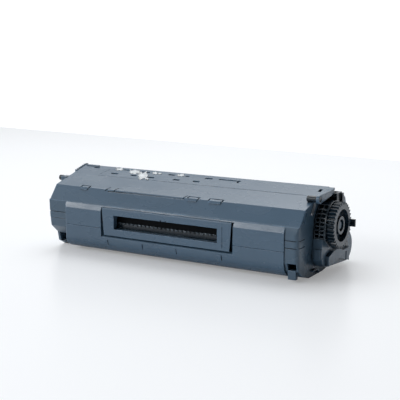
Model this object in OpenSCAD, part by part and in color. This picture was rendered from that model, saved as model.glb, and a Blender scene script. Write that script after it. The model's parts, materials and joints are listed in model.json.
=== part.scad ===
// All-in-one toner cartridge for a desktop laser printer.
// X runs along the rollers towards the gear end, the front faces -Y and Z is up.
// The origin is on the table plane, under the middle of the overall box.

/* [Body] */
// Length over the two end caps
body_len = 300; // [280:1:320]
// Depth from the front face to the rear edge
body_depth = 120; // [116:1:130]
// Height of the ridge of the top cover above the table
body_h = 84; // [81:1:88]
// Height of the weld line between hopper shell and tray
parting_z = 30; // [29.4:0.2:31]
// Height of the tray bottom above the table
tray_z = 3; // [2:0.5:4]
// Length of the left end cap
cap_left_w = 23.4; // [20:0.2:28]
// Length of the right end cap
cap_right_w = 14.4; // [12:0.2:18]
// Wall of the hopper and the end caps
wall = 2.4; // [1.8:0.1:2.8]
// Thickness of the top cover
cover_t = 2.2; // [1.6:0.1:2.6]

/* [Front window] */
// Length of the bezel
bezel_len = 156; // [130:1:180]
// Height of the bezel
bezel_h = 29; // [28:0.5:31]
// Length of the slot in the bezel
slot_len = 125; // [90:1:128]
// Height of the slot
slot_h = 14.7; // [12:0.1:17]
// Gap between the bezel and the edge of its pocket
bezel_gap = 1.6; // [0.6:0.1:2]

/* [Drum] */
// Radius of the photoconductor drum
drum_r = 12; // [11:0.1:12.4]
// Wall of the drum tube
drum_wall = 0.8; // [0.6:0.1:1.2]
// Radius of the fixed drum pin at the left end
drum_pin_r = 3; // [2.5:0.1:3.5]
// Radius of the drum's driven journal
drum_journal_r = 5; // [4:0.1:6]

/* [Rollers] */
// Gap between the drum and the rollers beside it
nip_gap = 0.3; // [0.2:0.05:0.5]
// Radius of the charge roller's rubber
charge_r = 5; // [4.5:0.1:5.4]
// Radius of the charge roller's shaft
charge_shaft_r = 3; // [2:0.1:3.2]
// Wall of the developer sleeve
sleeve_wall = 0.8; // [0.6:0.1:1]
// Radius of the agitator shaft
agitator_r = 3; // [2.5:0.1:3.6]
// Gap between the tip of the agitator film and the nearest wall
agitator_gap = 1.2; // [1.2:0.2:5]

/* [Gears] */
// Module of the large drive ring
ring_m = 1.3; // [1.2:0.05:1.35]
// Teeth on the large drive ring
ring_teeth = 34; // [30:1:34]
// Face width of each inner gear
gear_w = 3.4; // [2.6:0.1:3.4]
// Face width of the large drive ring
ring_w = 7.5; // [6:0.5:9]
// Tooth thinning on each gear for backlash
backlash = 0.2; // [0.15:0.01:0.25]
// Radius of the boss that carries the drive gear
drive_boss_r = 3.75; // [3:0.05:4.5]
// Height of the drive gear's axis above the table
drive_z = 48.4; // [47.5:0.1:49]

/* [Shutter] */
// Thickness of the shutter shell
shutter_t = 1.6; // [1.2:0.1:1.8]
// Gap between the drum and the closed shutter
shutter_gap = 2.95; // [2.65:0.05:2.95]
// Radius of the shutter's pivot pins
pivot_r = 2.5; // [2:0.1:3]

/* [Hidden] */
$fn = 64;

// Small sizes shared by several pieces
run_gap = 0.05;
seat_gap = 0.02;
eps = 0.01;
bite = 1;

// Colours
shell_col = [0.42, 0.48, 0.54];
cap_col = [0.36, 0.42, 0.48];
dark_col = [0.16, 0.18, 0.2];
gear_col = [0.25, 0.27, 0.29];
steel_col = [0.72, 0.73, 0.75];
drum_col = [0.2, 0.5, 0.55];
rubber_col = [0.12, 0.12, 0.13];

// Overall frame
front_y = -body_depth / 2;
rear_y = body_depth / 2;
guide_reach = 12;
gear_reach = 24;
box_mid_x = (gear_reach - guide_reach) / 2;

// Stations along X, in body coordinates
xl = -body_len / 2;
xr = body_len / 2;
hop_x0 = xl + cap_left_w;
hop_x1 = xr - cap_right_w;
end_wall = 3;
arm_t = 2;
arm_gap = 0.6;
bin_clear = 2.6;
bin_wall = 2;
end_play = 1.5;
arm_l = hop_x0 + wall + arm_gap;
arm_r = hop_x1 - wall - arm_gap - arm_t;
bin_x0 = arm_l + arm_t + bin_clear;
bin_x1 = arm_r - bin_clear;
drum_x0 = bin_x0 + bin_wall + end_play;
drum_x1 = bin_x1 - bin_wall - end_play;
work_x0 = drum_x0 + 2.5;
work_x1 = drum_x1 - 2.5;

// Gear planes beyond the right end cap
plane_gap = 0.6;
cage_end_t = 1.8;
cover_end_t = 1.6;
gear_a0 = xr + 0.8;
gear_a1 = gear_a0 + gear_w;
gear_b0 = gear_a1 + plane_gap;
gear_b1 = gear_b0 + gear_w;
cover_x1 = gear_b1 + 0.4 + cover_end_t;
cage_x1 = cover_x1 + 2.2;
ring_x0 = cage_x1 + 0.4;
ring_x1 = ring_x0 + ring_w;
retainer_t = 3.4;

// Corner points of the section, as [y, z]
bevel_z = body_h - 36.3;
ridge = [front_y + 2.9, body_h - 30.3];
lip = ridge + 2.4 * [cos(30), sin(30)];
top_front = [front_y + 16.1, body_h - 15.1];
drum_c = [rear_y - 22, 19];
hop_rear_y = drum_c[0] - 12;
top_ridge = [hop_rear_y - 15.6, body_h];
top_rear = [hop_rear_y, body_h - 5];
cover_foot = [hop_rear_y, body_h - 11];
tray_bend = 16;
tray_lip = [hop_rear_y - 9, 13];
pivot = [rear_y - 30, 44];
pivot_hub_r = pivot_r + 1.1;
bin_top = body_h - 15.5;

// Gears: module of the inner train, tooth counts and axes
gear_m = 1;
drum_teeth = 24;
dev_teeth = 15;
idler_teeth = 17;
drive_teeth = 40;
drive_agit_teeth = 32;
agit_teeth = 24;
drive_c = [drum_c[0] - 38, drive_z];
dev_dist = gear_m * (drum_teeth + dev_teeth) / 2;
dev_angle = 172;
dev_c = drum_c + dev_dist * [cos(dev_angle), sin(dev_angle)];
dev_r = dev_dist - drum_r - nip_gap;
charge_angle = 75;
charge_c = drum_c + (drum_r + charge_r + nip_gap) * [cos(charge_angle), sin(charge_angle)];
agit_dist = gear_m * (drive_agit_teeth + agit_teeth) / 2;
agit_angle = 244.6;
agit_c = drive_c + agit_dist * [cos(agit_angle), sin(agit_angle)];
idler_c = meet(drive_c, gear_m * (drive_teeth + idler_teeth) / 2,
               drum_c, gear_m * (drum_teeth + idler_teeth) / 2);

shutter_r = norm(drum_c - pivot) + drum_r + shutter_gap;

// Window
window_x = 1;
window_z = bevel_z - 10.3;
pocket_z0 = window_z - bezel_h / 2 - bezel_gap;
pocket_z1 = window_z + bezel_h / 2;
bezel_t = 1.6;
channel_depth = 11.5;
channel_wall = 1.5;
agitator_reach = min(agit_c[1] - tray_z - wall, agit_c[0] - front_y - channel_depth) - agitator_gap;

// Unit vector of v
function unit(v) = v / norm(v);
// Unit vector a quarter turn to the left of v
function left_of(v) = [-unit(v)[1], unit(v)[0]];
// Angle of the vector from a to b
function heading(a, b) = atan2(b[1] - a[1], b[0] - a[0]);
// Corner b of the path a, b, c moved by d to the left of the path
function mitre(a, b, c, d) =
  let (u = left_of(b - a), v = left_of(c - b)) b + (u + v) * d / (1 + u * v);
// Open path moved by d to its left
function beside(p, d) = let (n = len(p) - 1) [
  for (i = [0:n])
    i == 0 ? p[0] + left_of(p[1] - p[0]) * d :
    i == n ? p[n] + left_of(p[n] - p[n - 1]) * d :
    mitre(p[i - 1], p[i], p[i + 1], d)
];
// Outline of a wall of thickness d on the left side of an open path
function strip(p, d) = let (q = beside(p, d), n = len(p) - 1) concat(p, [for (i = [n:-1:0]) q[i]]);
// Points of an arc of radius r in n steps that rounds the corner b between a and c
function bend(a, b, c, r, n) =
  let (u = unit(a - b), v = unit(c - b), half = acos(u * v) / 2,
       o = b + unit(u + v) * r / sin(half), from = heading(o, b + u * r / tan(half)),
       turn = (heading(o, b + v * r / tan(half)) - from + 540) % 360 - 180)
  [for (i = [0:n]) o + r * [cos(from + turn * i / n), sin(from + turn * i / n)]];
// Points i down to j of the path p
function backwards(p, i, j) = [for (k = [i:-1:j]) p[k]];
// Closed counter-clockwise outline moved inwards by d
function inset(p, d) = let (n = len(p)) [
  for (i = [0:n - 1]) mitre(p[(i + n - 1) % n], p[i], p[(i + 1) % n], d)
];
// Upper crossing of the circles of radius ra about a and rb about b
function meet(a, ra, b, rb) =
  let (d = norm(b - a), u = (b - a) / d, k = (ra * ra - rb * rb + d * d) / (2 * d),
       h = sqrt(ra * ra - k * k))
  a + u * k + h * left_of(b - a);
// Height of the cover's top plane at depth y
top_slope = heading(top_front, top_ridge);
function top_z(y) = top_front[1] + (y - top_front[0]) * tan(top_slope);
// Angle of the point at which the right-hand tangent from circle a to circle b leaves them
function leaving(a, b) = heading(a[0], b[0]) - acos((a[1] - b[1]) / norm(b[0] - a[0]));
// Outline stretched round circles, each [centre, radius], given counter-clockwise
function around(circles) = let (n = len(circles)) [
  for (i = [0:n - 1])
    let (c = circles[i], from = leaving(circles[(i + n - 1) % n], c), to = leaving(c, circles[(i + 1) % n]),
         sweep = (to - from + 720) % 360, steps = max(2, round(sweep / 7.5)))
    for (k = [0:steps]) let (t = from + sweep * k / steps) c[0] + c[1] * [cos(t), sin(t)]
];

// Involute gear outline: tooth flanks follow the involute of the base circle
pressure = 25;
addendum = 0.9;
dedendum = 1.2;
flank_steps = 2;
function inv_angle(rb, r) = let (a = acos(min(1, rb / r))) tan(a) * 180 / PI - a;
function tooth(n, m, at) =
  let (rp = m * n / 2, rb = rp * cos(pressure), ra = rp + addendum * m, rr = rp - dedendum * m,
       rs = max(rb, rr), half = 90 / n - backlash / rp * 90 / PI + inv_angle(rb, rp),
       flank = [for (k = [0:flank_steps]) let (r = rs + (ra - rs) * k / flank_steps)
                [r, half - inv_angle(rb, r)]],
       side = concat(rb > rr + 0.1 ? [[rr, half - inv_angle(rb, rs)]] : [], flank))
  concat([for (p = side) p[0] * [cos(at - p[1]), sin(at - p[1])]],
         [for (i = [len(side) - 1:-1:0]) side[i][0] * [cos(at + side[i][1]), sin(at + side[i][1])]]);
module gear_2d(n, m, phase) {
  polygon([for (i = [0:n - 1]) each tooth(n, m, phase + i * 360 / n)]);
}
// Phase of a gear of n2 teeth that meshes with one of n1 teeth at phase p1, h being the heading to it
function mesh_phase(n1, p1, n2, h) = h + 180 - 180 / n2 + (h - p1) * n1 / n2;

drum_phase = 0;
idler_phase = mesh_phase(drum_teeth, drum_phase, idler_teeth, heading(drum_c, idler_c));
drive_phase = mesh_phase(idler_teeth, idler_phase, drive_teeth, heading(idler_c, drive_c));
dev_phase = mesh_phase(drum_teeth, drum_phase, dev_teeth, heading(drum_c, dev_c));
agit_phase = mesh_phase(drive_agit_teeth, drive_phase, agit_teeth, heading(drive_c, agit_c));

// Puts body coordinates into the part's own frame
module place() {
  translate([-box_mid_x, 0, 0]) children();
}
// Extrudes a section drawn as [y, z] from x0 to x1
module slab(x0, x1) {
  translate([x0, 0, 0]) rotate([90, 0, 90]) linear_extrude(x1 - x0) children();
}
// Round rod along X
module rod(x0, x1, c, r) {
  translate([x0, c[0], c[1]]) rotate([0, 90, 0]) cylinder(r = r, h = x1 - x0);
}
// Box given by its two corners
module block(a, b) {
  translate(a) cube(b - a);
}
// Stands children on the top plane of the cover
module on_top(x, y) {
  translate([x, y, top_z(y)]) rotate([top_slope, 0, 0]) children();
}

// Coil spring of height h: a wire of radius w swept along a helix of radius r
module coil(h, r, w, turns) {
  steps = ceil(turns * 14);
  sides = 6;
  pts = [for (i = [0:steps], k = [0:sides - 1])
    let (a = i / steps * turns * 360, b = k / sides * 360, q = r + w * cos(b))
    [q * cos(a), q * sin(a), w + (h - 2 * w) * i / steps + w * sin(b)]];
  last = steps * sides;
  polyhedron(pts, concat([[for (k = [0:sides - 1]) k]], [[for (k = [sides - 1:-1:0]) last + k]],
    [for (i = [0:steps - 1], k = [0:sides - 1]) let (n = (k + 1) % sides)
      [i * sides + k, (i + 1) * sides + k, (i + 1) * sides + n, i * sides + n]]));
}

front_slope = heading(lip, top_front);
cover_path = concat([ridge, lip], bend(lip, top_front, top_ridge, 2.5, 3),
                    bend(top_front, top_ridge, top_rear, 3, 3), [top_rear, cover_foot]);
cover_inner = beside([lip, top_front, top_ridge, top_rear, cover_foot], -cover_t);
ridge_in = [lip[0] - (lip[1] - ridge[1]) / tan(front_slope) + cover_t / sin(front_slope), ridge[1]];
// Where the cover's inner face meets what it sits on, from rear to front
under_cover = concat([cover_foot - [cover_t, 0]], backwards(cover_inner, 3, 1), [ridge_in]);

// Sizes of the cover's openings, as [x, y, length, width]
top_slots = [
  [-98.5, -5.8, 9.6, 3], [-72.5, -6.2, 7.4, 3], [-49.2, -7, 7.4, 3.2], [-17.2, -6.7, 7.8, 3.2],
  [7.4, -6.3, 7.8, 3.2], [-89, 5.4, 9, 2.4], [-63.4, 4.6, 11, 2.6], [-44.4, 3.8, 5, 2.8],
  [-29.2, 3.6, 8, 2.6], [-9.5, 3.6, 5, 2.6], [17.4, 3.2, 9, 2.6], [42.5, 3.6, 25.6, 2.2],
  [53.4, 1.2, 2.4, 4.2], [-130.4, 4.6, 7.4, 2.4]
];
slot_cut_h = 8;
groove_d = 0.5;
crease_y = -13.5;
// Latches, as [x, half width]
latches = [[-110.5, 4.6], [26, 5.4], [52, 7]];
tick_x = [-81.7, -71.2, 15.4];
ear_len = 7.5;
ear_y = [-13.5, 9];
ear_hole = [3.4, 6.6];

module top_cover() {
  color(shell_col) difference() {
    union() {
      slab(xl, xr) polygon(concat(cover_path, under_cover));
      ear();
      for (l = latches) latch(l[0], l[1]);
      on_top(-139, top_ridge[0] - 1.6) block([-8, -1.6, -1], [9, 1, 0.8]);
    }
    for (s = top_slots) on_top(s[0], s[1])
      block([-s[2] / 2, -s[3] / 2, -slot_cut_h], [s[2] / 2, s[3] / 2, 3]);
    rod(xr + 4, xr + ear_len + 1, guide_right_c, guide_right_r + seat_gap);
    on_top(5, crease_y) block([-121, -0.3, -groove_d], [xr - 18, 0.3, 2]);
    on_top(-113, -3.4) rotate([0, 0, 72]) block([-7.5, -0.3, -groove_d], [7, 0.3, 2]);
    for (x = tick_x) tick(x);
    for (l = latches) latch_gap(l[0], l[1]);
    on_top(xr - 4, 0)
      block([-ear_hole[0] / 2, -ear_hole[1] / 2, -slot_cut_h], [ear_hole[0] / 2, ear_hole[1] / 2, 3]);
    translate([0, top_front[0], top_front[1]]) rotate([front_slope, 0, 0]) {
      block([-79, -2.4, -0.7], [17, -1.6, 2]);
      block([-79, -2.9, -1], [-54, -1.6, 2]);
    }
  }
}

// Ear that carries the top plane past the right end cap
module ear() {
  slab(xr - bite, xr + ear_len)
    polygon(strip([[ear_y[1], top_z(ear_y[1])], [ear_y[0], top_z(ear_y[0])]], cover_t));
  slab(xr, xr + ear_len - 1.5)
    polygon([[ear_y[0], top_z(ear_y[0]) - 0.5], [ear_y[1], top_z(ear_y[1]) - 0.5],
             [ear_y[1], top_z(ear_y[1]) - 6], [ear_y[1] - 4, top_z(ear_y[1]) - 6],
             [ear_y[0], top_z(ear_y[0]) - 2.6]]);
  slab(xr + 4.6, xr + ear_len)
    polygon(around([[guide_right_c, guide_right_r + 1.2], [[ear_y[1] - 3, top_z(ear_y[1] - 3) - 3], 2.4]]));
}
// Guide pin at the right end, lying on the top plane
guide_right_r = 3;
guide_right_y = -25;
guide_right_c = [guide_right_y, top_z(guide_right_y)]
  + (guide_right_r + run_gap) * [-sin(top_slope), cos(top_slope)];

// Hook of the cover, half width h, that clips over the front slope
module latch(x, h) {
  translate([x, top_front[0], top_front[1]]) rotate([front_slope, 0, 0])
    block([-h, -3.6, -cover_t + 0.3], [h, -0.4, 0.7]);
}
// Gap cut round the latch tongue, open towards the front
module latch_gap(x, h) {
  gap = 1.5;
  back = 2.6;
  translate([x, top_front[0], top_front[1]]) rotate([top_slope, 0, 0]) translate([0, 0, -cover_t - 0.8])
    linear_extrude(5) polygon([[-h - gap, -0.6], [-h, -0.6], [-h, back], [h, back],
                               [h, -0.6], [h + gap, -0.6], [h + gap, back + gap], [-h - gap, back + gap]]);
}
// Narrow slit across the front edge of the top plane
module tick(x) {
  translate([x, top_front[0], top_front[1]]) rotate([top_slope, 0, 0]) rotate([0, 0, -20])
    block([-0.6, -2, -1.8], [0.6, 5.5, 2]);
}
// Cuts a round of radius r along the upright edge at x, y; side is 1 for the right-hand end
module corner_cut(x, y, r, side) {
  steps = 5;
  translate([0, 0, -1]) linear_extrude(ridge[1] + 1) polygon(concat(
    [[x + side, y - 1], [x + side, y + r]],
    [for (i = [0:steps]) [x + side * r * (cos(90 * i / steps) - 1), y + r * (1 - sin(90 * i / steps))]],
    [[x - side * r, y - 1]]));
}

module hopper_shell() {
  foot = [front_y, parting_z];
  bevel = [front_y, bevel_z];
  bevel_foot = wall / sin(heading(bevel, ridge));
  color(shell_col) difference() {
    union() {
      slab(hop_x0, hop_x1)
        polygon(concat([foot], bend(foot, bevel, ridge, 3, 3),
                       [ridge, ridge + [bevel_foot, 0], mitre(foot, bevel, ridge, -wall), foot + [wall, 0]]));
      slab(hop_x0, hop_x1)
        polygon(strip([cover_foot, [hop_rear_y, parting_z + 2.4]], -wall));
      for (x = [hop_x0, hop_x1 - wall]) slab(x, x + wall)
        polygon(concat([[front_y, parting_z], [hop_rear_y, parting_z], cover_foot], under_cover,
                       [ridge, bevel]));
    }
    window_cut();
    corner_cut(hop_x0, front_y, corner_r, -1);
    rod(hop_x0 - 1, hop_x0 + wall + 1, plug_c, plug_r + seat_gap);
  }
}
plug_c = [-18, bevel_z + 4.3];
plug_r = 9;
corner_r = 2;

// Pocket for the bezel, cut through the front wall
module window_cut() {
  block([window_x - bezel_len / 2 - bezel_gap, front_y - 1, pocket_z0],
        [window_x + bezel_len / 2 + bezel_gap, front_y + 6, pocket_z1]);
  slab(window_x - bezel_len / 2 - bezel_gap, window_x + bezel_len / 2 + bezel_gap)
    polygon([[front_y - 1, pocket_z0 - 1.2], [front_y, pocket_z0 - 1.2], [front_y + 1.4, pocket_z0 + 0.2],
             [front_y - 1, pocket_z0 + 0.2]]);
}

tray_path = concat([[front_y, parting_z]],
                   bend([front_y, parting_z], [front_y, tray_z], [tray_lip[0], tray_z], tray_bend, 7),
                   [[tray_lip[0], tray_z], tray_lip]);
tray_slits = [-70, -26, 15.3, 68];
module hopper_tray() {
  color(shell_col) difference() {
    union() {
      slab(hop_x0, hop_x1) polygon(strip(tray_path, wall));
      for (x = [hop_x0, hop_x1 - wall]) slab(x, x + wall)
        polygon(concat([for (i = [0:len(tray_path) - 2]) tray_path[i]],
                       [[hop_rear_y + 1, tray_z + 9], [hop_rear_y + 1, parting_z]]));
    }
    window_cut();
    corner_cut(hop_x0, front_y, corner_r, -1);
    for (x = [hop_x0, hop_x1 - wall]) {
      rod(x - 1, x + wall + 1, dev_c, bush_r + seat_gap);
      rod(x - 1, x + wall + 1, agit_c, agitator_r + run_gap);
    }
    for (x = tray_slits) tray_slit(x);
    slab(hop_x0 - 1, hop_x1 + 1) polygon([[front_y - 1, parting_z - 0.5], [front_y + 0.5, parting_z - 0.5],
                                          [front_y + 0.5, parting_z + 1], [front_y - 1, parting_z + 1]]);
  }
}
// Narrow slit down the bend at the tray's front
module tray_slit(x) {
  translate([x, front_y + tray_bend, tray_z + tray_bend]) rotate([14, 0, 0])
    block([-0.6, -tray_bend - 1, -3], [0.6, -tray_bend + 1, 3]);
}

// Where the slot lies within the bezel
slot_x0 = window_x - slot_len / 2 - 0.5;
slot_z0 = window_z - slot_h / 2;
module window_bezel() {
  b0 = [window_x - bezel_len / 2, front_y, window_z - bezel_h / 2];
  b1 = b0 + [bezel_len, bezel_t, bezel_h];
  taper = 2.4;
  collar = 1.4;
  collar_in = 6.5;
  color(shell_col) difference() {
    union() {
      translate([0, b1[1], 0]) rotate([90, 0, 0]) linear_extrude(bezel_t)
        polygon([[b0[0] + taper, b0[2]], [b1[0] - taper, b0[2]], [b1[0], b1[2]], [b0[0], b1[2]]]);
      block([slot_x0 - collar, front_y + bezel_t - eps, slot_z0 - collar],
            [slot_x0 + slot_len + collar, front_y + collar_in, slot_z0 + slot_h + collar]);
    }
    block([slot_x0, front_y - 1, slot_z0], [slot_x0 + slot_len, front_y + collar_in + 1, slot_z0 + slot_h]);
    block([b1[0] - 10.6, front_y - 1, b0[2] + 2.5], [b1[0] - 10, front_y + 0.5, b1[2] - 5]);
    for (x = [-3, 2.6])
      block([x - 0.6, front_y - 1, slot_z0 + slot_h - 1], [x + 0.6, front_y + 2, slot_z0 + slot_h + 1.2]);
    slab(b0[0] - 1, b1[0] + 1)
      polygon([[front_y - 1, b1[2] - 1.4], [front_y, b1[2] - 1.4],
                [front_y + 0.8, b1[2] + 1], [front_y - 1, b1[2] + 1]]);
  }
}

module window_channel() {
  c0 = [window_x - bezel_len / 2 - bezel_gap, front_y + bezel_t, pocket_z0];
  c1 = [window_x + bezel_len / 2 + bezel_gap, front_y + channel_depth, pocket_z1];
  color(dark_col) difference() {
    block(c0 + [seat_gap, 0, seat_gap], c1 - [seat_gap, 0, seat_gap]);
    block(c0 + [channel_wall, -1, channel_wall], c1 - [channel_wall, channel_wall, channel_wall]);
  }
}

// Toothed strip on the back wall of the channel
comb_z = 6;
module slot_comb() {
  y1 = front_y + channel_depth - channel_wall;
  color(dark_col) union() {
    block([slot_x0, y1 - 1, slot_z0], [slot_x0 + slot_len, y1, slot_z0 + comb_z]);
    for (i = [0:floor(slot_len / 5) - 1])
      block([slot_x0 + 2 + i * 5, y1 - 2.4, slot_z0 + comb_z - 1.6],
            [slot_x0 + 4.4 + i * 5, y1 - 1 + eps, slot_z0 + comb_z]);
  }
}

cap_step = 1;
// Outline of an end cap below the cover, counter-clockwise, between its low front and its low rear
function cap_outline(low_front, low_rear) = concat(
  low_rear,
  [[rear_y, 20], [rear_y, body_h - 26], [rear_y - 3.5, body_h - 18], [rear_y - 10, body_h - 12.5],
   [hop_rear_y + 4, body_h - 11], cover_foot],
  under_cover, [ridge], low_front);
left_outline = cap_outline(
  [[front_y + 3.6, 0.755 * bevel_z], [front_y + 5.4, 0.514 * bevel_z],
   [front_y + 15.5, 0.325 * bevel_z], [front_y + 17.5, 0.115 * bevel_z]],
  [[front_y + 27, 0], [rear_y - 16, 0], [rear_y - 4.5, 8]]);
right_outline = cap_outline(
  [[front_y + cap_step, 0.98 * bevel_z], [front_y + cap_step, 0.4 * bevel_z],
   [front_y + 4, 0.23 * bevel_z], [front_y + 12, 0.09 * bevel_z]],
  [[front_y + 27, 0], [0, 0], [rear_y - 19, 5], [rear_y - 6, 9]]);
bin_posts = [[rear_y - 12, bin_top - 8.5], [rear_y - 20, bin_top - 5.5]];
post_r = 4;
groove_z = [0.86 * bevel_z, 0.709 * bevel_z];
module cap_grooves(x0, x1, depth) {
  for (z = groove_z) block([x0, front_y - 1, z - 0.4], [x1, front_y + depth, z + 0.4]);
}

module left_end_cap() {
  color(cap_col) difference() {
    union() {
      difference() {
        slab(xl, hop_x0) polygon(left_outline);
        slab(xl + end_wall, hop_x0 + 1) polygon(inset(left_outline, wall));
      }
      rod(xl + bite, hop_x0 + 1.6, drum_c, 6);
      rod(xl + bite, hop_x0 + wall, pivot, pivot_hub_r);
      rod(xl + bite, hop_x0 - 4, dev_c, 5.5);
      for (p = bin_posts) rod(xl + bite, bin_x0, p, post_r);
      left_guide();
      grip_ribs();
    }
    rod(xl - 1, hop_x0 + wall + 1, drum_c, drum_pin_r + seat_gap);
    rod(hop_x0 - 10, hop_x0 + wall + 1, pivot, pivot_r + seat_gap);
    rod(hop_x0 - 16, hop_x0, dev_c, magnet_shaft_r + seat_gap);
    cap_grooves(xl - 1, hop_x0 + 1, 4.4);
    rod(xl - guide_lug - 1, xl - guide_lug + guide_seat, guide_left_c, guide_spigot_r + seat_gap);
    block([xl + 3, front_y + 3, 4.5], [hop_x0 - 2, front_y + 21, 15]);
    for (p = left_screws) rod(xl - 1, xl + end_wall + 1, p, screw_r + 0.1);
  }
}
left_screws = [[front_y + 20, 50], [rear_y - 6, 40]];
screw_r = 1.2;
screw_head_r = 2.6;
screw_len = 7;

// Guide lug on the outside of the left end cap; the pin's thinner spigot sits in it
guide_left_r = 3;
guide_spigot_r = 2.2;
guide_lug = 7.5;
guide_seat = 3;
guide_relief = 0.3;
guide_left_y = front_y + 38;
guide_left_c = [guide_left_y, top_z(guide_left_y) - 2.6];
module left_guide() {
  y = guide_left_c[0];
  z = guide_left_c[1];
  block([xl - guide_lug, y - 4.4, z - 4.2], [xl, y + 4.6, z + 2.4]);
  block([xl - bite, y - 4.4, z - 4.2], [xl + bite, y + 4.6, z - 1.4]);
  slab(xl - 3, xl + bite) polygon([[y - 3, z - 12], [y + 8, z - 12], [y + 4, z - 4], [y - 4, z - 4]]);
}
// Row of grip ribs along the upper rear edge of the left end cap
rib_pitch = 3.2;
module grip_ribs() {
  y0 = top_ridge[0] - 17;
  for (i = [0:6]) let (y = y0 + i * rib_pitch, top = min(top_z(y), body_h) + 0.7) slab(xl - 3.2, xl - eps)
    polygon([[y, top - 8], [y + 1.7, top - 8], [y + 1.7, top], [y, top]]);
  slab(xl - 1.4, xl + bite)
    polygon([[y0 - 1, top_z(y0) - 11], [y0 + 22, body_h - 14],
             [y0 + 22, body_h - 5.8], [y0 - 1, top_z(y0) - 4.8]]);
}

module right_end_cap() {
  color(cap_col) difference() {
    union() {
      difference() {
        slab(hop_x1, xr) polygon(right_outline);
        slab(hop_x1 - 1, xr - end_wall) polygon(inset(right_outline, wall));
      }
      rod(hop_x1 + 0.4, xr - bite, drum_c, drum_journal_r + 3);
      rod(hop_x1 - wall, xr - bite, pivot, pivot_hub_r);
      rod(hop_x1 + 1, xr - bite, dev_c, dev_journal_r + 2.5);
      rod(hop_x1 + 1, xr - bite, agit_c, agitator_r + 2.2);
      for (p = bin_posts) rod(bin_x1, xr - bite, p, post_r);
      rod(xr - bite, ring_x1 - 2.5, drive_c, drive_boss_r);
      rod(xr - bite, gear_b1, idler_c, idler_boss_r);
      rod(xr - bite, gear_b0 - 0.2, idler_c, idler_boss_r + 2);
      right_foot();
      right_hook();
    }
    rod(hop_x1 - 5, xr + 1, drum_c, drum_journal_r + run_gap);
    rod(hop_x1 - wall - 1, hop_x1 + 9, pivot, pivot_r + seat_gap);
    rod(hop_x1 - 5, xr + 1, dev_c, dev_journal_r + run_gap);
    rod(hop_x1 - 5, xr + 1, agit_c, agitator_r + run_gap);
    cap_grooves(hop_x1 - 1, xr + 1, cap_step + 1.2);
    for (z = groove_z) block([xr - 0.8, front_y, z - 0.4], [xr + 1, front_y + 16, z + 0.4]);
    block([hop_x1 + 3.2, front_y - 1, 12], [xr - 2, front_y + 14, 19]);
    corner_cut(xr, front_y + cap_step, 4.5, 1);
    for (p = cage_screws) rod(xr - end_wall - 1, xr + 1, p, screw_r + 0.1);
  }
}
idler_boss_r = 2.5;
dev_journal_r = 4;
cage_screws = [drive_c + 28 * [cos(24), sin(24)], drum_c + 18.5 * [cos(50), sin(50)]];

// Small block under the right end cap's front corner
module right_foot() {
  block([hop_x1 + 3.4, front_y + 3, 3], [xr - 3, front_y + 8, 12]);
}
// Hook low on the end face
module right_hook() {
  y0 = front_y + 31;
  slab(xr - bite, xr + 3)
    polygon(strip([[y0, 5.6], [y0 + 9, 5.6], [y0 + 12.4, 4.4], [y0 + 13.6, 1.6]], 1.4));
}

// Outline round the gears beyond the right end cap
cage_wall = 1.6;
cage_r_drive = gear_m * drive_teeth / 2 + 4;
cage_r_agit = gear_m * agit_teeth / 2 + 3;
cage_r_drum = gear_m * drum_teeth / 2 + 3;
cage_split = drive_z - 10.8;
function cage_outline(d) =
  around([[drive_c, cage_r_drive - d], [agit_c, cage_r_agit - d], [drum_c, cage_r_drum - d]]);
// Solid housing round the gears up to x1, between the heights z0 and z1
module housing(x1, z0, z1) {
  slab(xr, x1) intersection() {
    polygon(cage_outline(0));
    translate([front_y, z0]) square([body_depth, z1 - z0]);
  }
}
// Room for the gears up to x1, and the opening for the drive gear
module housing_room(x1) {
  slab(xr - 1, x1) polygon(cage_outline(cage_wall));
  rod(xr + 2, cage_x1 + 1, drive_c, cage_r_drive - cage_wall - 0.6);
}
cage_rows = 8;
cage_row_pitch = 3.9;
cage_row_z = cage_split + 1.6;
module gear_cage() {
  color(dark_col) difference() {
    union() {
      housing(cage_x1, cage_split, body_h);
      cage_block();
      cage_tab();
      cage_ear([drive_c, cage_r_drive - 3], cage_screws[0]);
    }
    housing_room(cage_x1 - cage_end_t);
    for (i = [0:cage_rows - 1], x = [xr + 1.4, xr + 6.6])
      block([x, drive_c[0] - cage_r_drive - 4, cage_row_z + i * cage_row_pitch],
            [x + 4.4, drive_c[0] - 8, cage_row_z + i * cage_row_pitch + 2.9]);
    rod(xr - 1, cage_x1 + 1, cage_screws[0], screw_r + 0.1);
  }
}
// Smooth lower cover over the agitator gear and the drum gear
module gear_cover() {
  color(cap_col) difference() {
    union() {
      housing(cover_x1, 0, cage_split);
      cage_ear([drum_c, cage_r_drum - 3], cage_screws[1]);
      cover_panel();
    }
    housing_room(cover_x1 - cover_end_t);
    rod(xr + 2, cage_x1 + 1, drum_c, drum_journal_r + run_gap);
    rod(xr - 1, cage_x1 + 1, cage_screws[1], screw_r + 0.1);
  }
}
// Raised panel on the front of the lower cover
module cover_panel() {
  y = agit_c[0] - cage_r_agit;
  block([xr + 2.6, y - 0.7, agit_c[1] - 6], [cover_x1 - 1.2, y + 1.4, agit_c[1] + 5]);
}
// Screw ear that reaches from the round seat to the screw at p
module cage_ear(seat, p) {
  slab(xr, xr + 3) polygon(around([seat, [p, 3.4]]));
}
// Bracket on top of the cage, behind the cover's ear
module cage_block() {
  y0 = drive_c[0] + 9.6;
  z0 = drive_c[1] + 17;
  difference() {
    block([xr, y0, z0 - 4], [cage_x1 - 2.4, y0 + 12.8, z0 + 12.6]);
    block([xr + 2.4, y0 + 2.4, z0 + 7], [cage_x1 - 4.6, y0 + 10.4, z0 + 14]);
  }
  block([cage_x1 - 2.4 - eps, y0 + 9.4, z0 - 6], [cage_x1 - 0.4, y0 + 12.8, z0 + 11.6]);
}
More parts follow.
